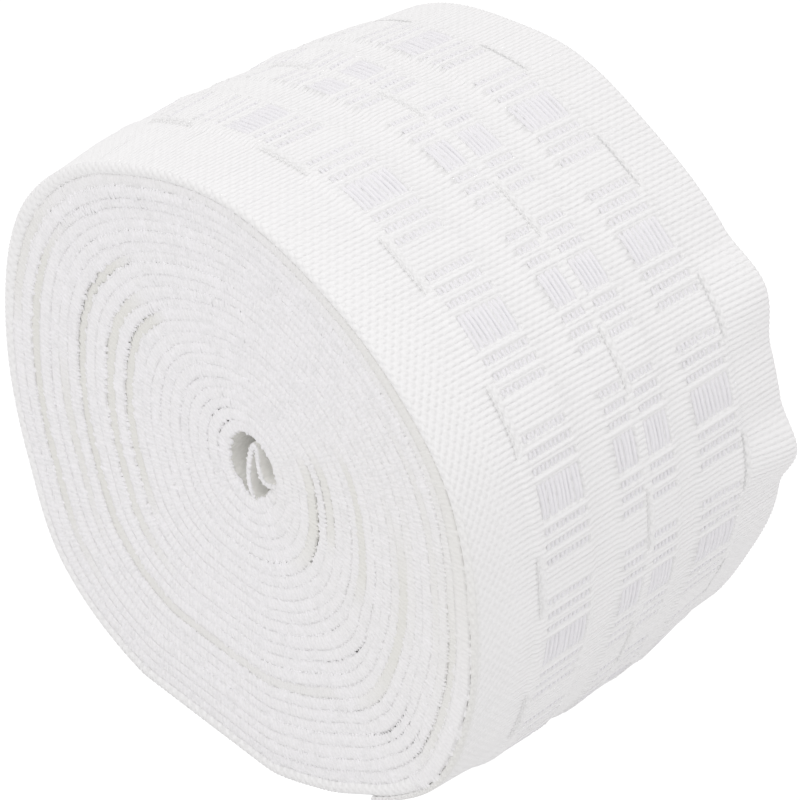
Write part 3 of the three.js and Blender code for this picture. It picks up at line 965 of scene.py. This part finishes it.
# Loops of weft yarn round both edges of the wound turns
loops = {
    "nearPitch": 0.86,
    "farPitch": 1.04,
    "ratio": 0.44,           # yarn radius over loop radius
    "reach": 1.02,           # loop radius over half of the cloth's thickness
    "swell": 0.06,           # slow change of that reach
    "swellSpacing": 4.5,
    "flat": 0.26,            # height of a loop over its reach
    "proud": 0.1,            # how far the loops stand out
    "uneven": 0.03,          # outward
    "jitter": 0.13,          # of the thickness, sideways
    "sweep": 3.7,            # radians; both ends dive into the cloth
    "arcPoints": 5,
    "sides": 4,
    "spread": 0.1,           # uneven size
    "tilt": 0.18,            # uneven lean, radians
    "stray": 0.1,            # uneven step, of the pitch
    "floorShare": 0.98,      # of the largest loop, kept above the floor
    "sunkShadeFrom": 0.55,        # listed depth at which a turn has its full painted shade
    "frontAngle": 178,       # middle of the shaded front side
    "frontHalf": 62,
    "frontFlat": 0.4,        # share of that half without a fade
    "frontShade": 0.15,      # its share of the painted shade
    "seed": 3,
}


# How far a turn takes the painted shade at the near edge: by the sunk turns, and a little on the front side
def sunkShadeShare(turns):
    away = np.abs(angleFrom(roll["endAngle"] - 360 * turns, loops["frontAngle"]))
    half = loops["frontHalf"]
    front = loops["frontShade"] * (1 - smoothStep(away, half * loops["frontFlat"], half))
    return np.clip(sunkAt(turns) / loops["sunkShadeFrom"] + front, 0, 1)


def buildLoops(name, edge, across, farSide, material):
    rng = np.random.default_rng(loops["seed"] + farSide)
    column = int(np.argmin(np.abs(across - (roll["width"] if farSide else 0))))
    lengths = lengthAt(edge["turns"])
    pitch = loops["farPitch"] if farSide else loops["nearPitch"]
    wanted = np.arange(lengths[0], lengths[-1], pitch)
    wanted = wanted + rng.uniform(-1, 1, len(wanted)) * pitch * loops["stray"]
    turns = np.interp(wanted, lengths, edge["turns"])
    count = len(turns)

    def pick(values):
        return np.interp(turns, edge["turns"], values)

    thickness = pick(edge["thickness"][:, column])
    inY, inZ = pick(edge["in"][:, column, 0]), pick(edge["in"][:, column, 1])
    size = np.hypot(inY, inZ)
    inY, inZ = inY / size, inZ / size
    side = 1 if farSide else -1
    swell = 1 + loops["swell"] * smoothNoise(wanted, loops["swellSpacing"], loops["seed"] + 7)
    radius = thickness / 2 * loops["reach"] * swell
    shift = thickness / 2 + thickness * loops["jitter"] * rng.uniform(-1, 1, count)
    y = pick(edge["y"][:, column]) + inY * shift
    z = pick(edge["z"][:, column]) + inZ * shift
    z = np.maximum(z, radius * (1 + loops["ratio"]) * (1 + loops["spread"]) * loops["floorShare"])
    sit = radius * (1 + loops["ratio"]) * loops["flat"] - loops["proud"]
    sit = sit + rng.uniform(-1, 1, count) * loops["uneven"]
    x = pick(edge["x"][:, column]) - side * sit
    none = np.zeros(count)
    attributes = {
        "outward": np.column_stack([none + side, none, none]),
        "inward": np.column_stack([none, inY, inZ]),
        "reach": radius * metre,
        # painted shade of the sunk turns, on the near side only
        "deep": sunkShadeShare(turns) * (not farSide),
    }
    piece = pointPiece(name, np.column_stack([x, y, z]), [], attributes)
    sizes = {label.capitalize(): loops[label] for label in ("ratio", "flat", "tilt", "spread", "seed")}
    tree = Tree("growLoops" + name, sizes)
    sweep = loops["sweep"]
    arcSizes = {"Resolution": loops["arcPoints"], "Radius": 1.0}
    arcSizes.update({"Start Angle": -sweep / 2, "Sweep Angle": sweep})
    arc = tree.node("GeometryNodeCurveArc", {"mode": "RADIUS"}, arcSizes)
    ringSizes = {"Resolution": loops["sides"], "Radius": tree.size("Ratio")}
    ring = tree.node("GeometryNodeCurvePrimitiveCircle", {}, ringSizes)
    loop = tree.node("GeometryNodeCurveToMesh", {}, {"Curve": arc, "Profile Curve": ring})
    axes = {0: tree.attribute("outward", "FLOAT_VECTOR"), 1: tree.attribute("inward", "FLOAT_VECTOR")}
    settings = {"primary_axis": "X", "secondary_axis": "Y"}
    turned = tree.node("FunctionNodeAxesToRotation", settings, axes)
    seed = tree.size("Seed")
    tilt = tree.size("Tilt")
    low = tree.node("ShaderNodeCombineXYZ", {}, {0: tilt * -1, 1: tilt * -0.3})
    high = tree.node("ShaderNodeCombineXYZ", {}, {0: tilt, 1: tilt * 0.3})
    sides = {0: low, 1: high, "Seed": seed}
    lean = tree.node("FunctionNodeRandomValue", {"data_type": "FLOAT_VECTOR"}, sides)
    lean = tree.node("FunctionNodeEulerToRotation", {}, {0: lean})
    leaned = tree.node("FunctionNodeRotateRotation", {"rotation_space": "LOCAL"}, {0: turned, 1: lean})
    uneven = {2: 1 - tree.size("Spread"), 3: tree.size("Spread") + 1, "Seed": seed}
    size = tree.node("FunctionNodeRandomValue", {"data_type": "FLOAT"}, uneven, 1)
    size = size * tree.attribute("reach", "FLOAT")
    scale = tree.node("ShaderNodeCombineXYZ", {}, {0: size * tree.size("Flat"), 1: size, 2: size})
    points = tree.node("GeometryNodeMeshToPoints", {}, {"Mesh": tree.size("Geometry")})
    placed = {"Points": points, "Instance": loop, "Rotation": leaned, "Scale": scale}
    grown = tree.node("GeometryNodeInstanceOnPoints", {}, placed)
    return tree.run(piece, grown, material, False)


def finishPiece(piece, replace):
    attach(piece, "root")
    if replace:
        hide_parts(rollNode)
    piece.data.calc_loop_triangles()
    print(piece.name, len(piece.data.loop_triangles), "triangles")


clothPlain = clothMaterial("woundCloth", False)
clothWoven = clothMaterial("outerCloth", True)
yarnFloat = yarnMaterial("floatYarn", yarn["colour"], yarn["shadeColour"], False)
yarnEdge = yarnMaterial("selvedgeYarn", yarn["selvedgeColour"], yarn["selvedgeShade"], True)

woundTape, woundEdge, woundAcross = buildWoundTape()
woundTape.data.materials.append(clothPlain)
finishPiece(woundTape, True)

outerTurn = buildOuterTurn()
outerTurn.data.materials.append(clothWoven)
finishPiece(outerTurn, True)

threadFloats = buildFloats(yarnFloat)
finishPiece(threadFloats, False)

nearSelvedge = buildLoops("nearSelvedge", woundEdge, woundAcross, False, yarnEdge)
finishPiece(nearSelvedge, False)
farSelvedge = buildLoops("farSelvedge", woundEdge, woundAcross, True, yarnEdge)
finishPiece(farSelvedge, False)


# Soft light from all round and a large lamp above the near end
studio = {
    "skyColour": (1, 0.985, 0.995, 1),
    "skyStrength": 0.86,
    "lampPlace": (-0.3, -0.1, 0.85),
    "lampTarget": (0, 0, 0.06),
    "lampSize": 0.9,
    "lampPower": 1.95,
    "floorHalf": 6.0,
    "floorColour": (0.9, 0.9, 0.9, 1),
    "floorRoughness": 0.9,
    "floorGlow": 1.1,        # as the camera sees it
}


# Plain pale floor
def buildFloor():
    half = studio["floorHalf"]
    corners = [(-half, -half, 0), (half, -half, 0), (half, half, 0), (-half, half, 0)]
    mesh = bpy.data.meshes.new("floor")
    mesh.from_pydata(corners, [], [(0, 1, 2, 3)])
    floor = addObject("floor", mesh)
    material, tree, shader = newMaterial("floorPaint", studio["floorRoughness"], 0)
    shader.inputs["Base Color"].default_value = studio["floorColour"]
    white = addNode(tree, "ShaderNodeEmission", {}, {"Strength": studio["floorGlow"]})
    seen = addNode(tree, "ShaderNodeLightPath", {}, {})
    look = addNode(tree, "ShaderNodeMixShader", {}, {0: seen, 1: Signal(tree, shader.outputs[0]), 2: white})
    tree.links.new(look.socket, tree.nodes["Material Output"].inputs["Surface"])
    mesh.materials.append(material)


def buildLight():
    world = bpy.data.worlds.new("studio")
    world.use_nodes = True
    sky = world.node_tree.nodes["Background"]
    sky.inputs["Color"].default_value = studio["skyColour"]
    sky.inputs["Strength"].default_value = studio["skyStrength"]
    bpy.context.scene.world = world
    data = bpy.data.lights.new("lamp", "AREA")
    data.size = studio["lampSize"]
    data.energy = studio["lampPower"]
    lamp = addObject("lamp", data)
    lamp.location = studio["lampPlace"]
    lamp.rotation_euler = eulerToward(np.array(studio["lampTarget"]) - np.array(studio["lampPlace"]))
    bpy.context.scene.view_settings.view_transform = "Standard"


def eulerToward(direction):
    x, y, z = direction
    return (np.arctan2(np.hypot(x, y), -z), 0, np.arctan2(x, -y) + np.pi)


# The photograph's view
view = {
    "turn": -41.5,
    "height": 37.0,
    "distance": 0.9,
    "target": (0, 0, 0.055),
    "right": 0.0009,
    "up": 0.00246,
    "lens": 232.6,
}


def buildCamera():
    turn, height = np.radians(view["turn"]), np.radians(view["height"])
    back = np.array([np.sin(turn) * np.cos(height), -np.cos(turn) * np.cos(height), np.sin(height)])
    right = np.array([np.cos(turn), np.sin(turn), 0])
    up = np.cross(back, right)
    data = bpy.data.cameras.new("camera")
    data.lens = view["lens"]
    data.sensor_width = 36
    data.clip_start = 0.05
    camera = addObject("camera", data)
    place = np.array(view["target"]) + back * view["distance"]
    camera.location = place + right * view["right"] + up * view["up"]
    camera.rotation_euler = (np.pi / 2 - height, 0, turn)
    bpy.context.scene.camera = camera


buildFloor()
buildLight()
buildCamera()
print("studio ready")
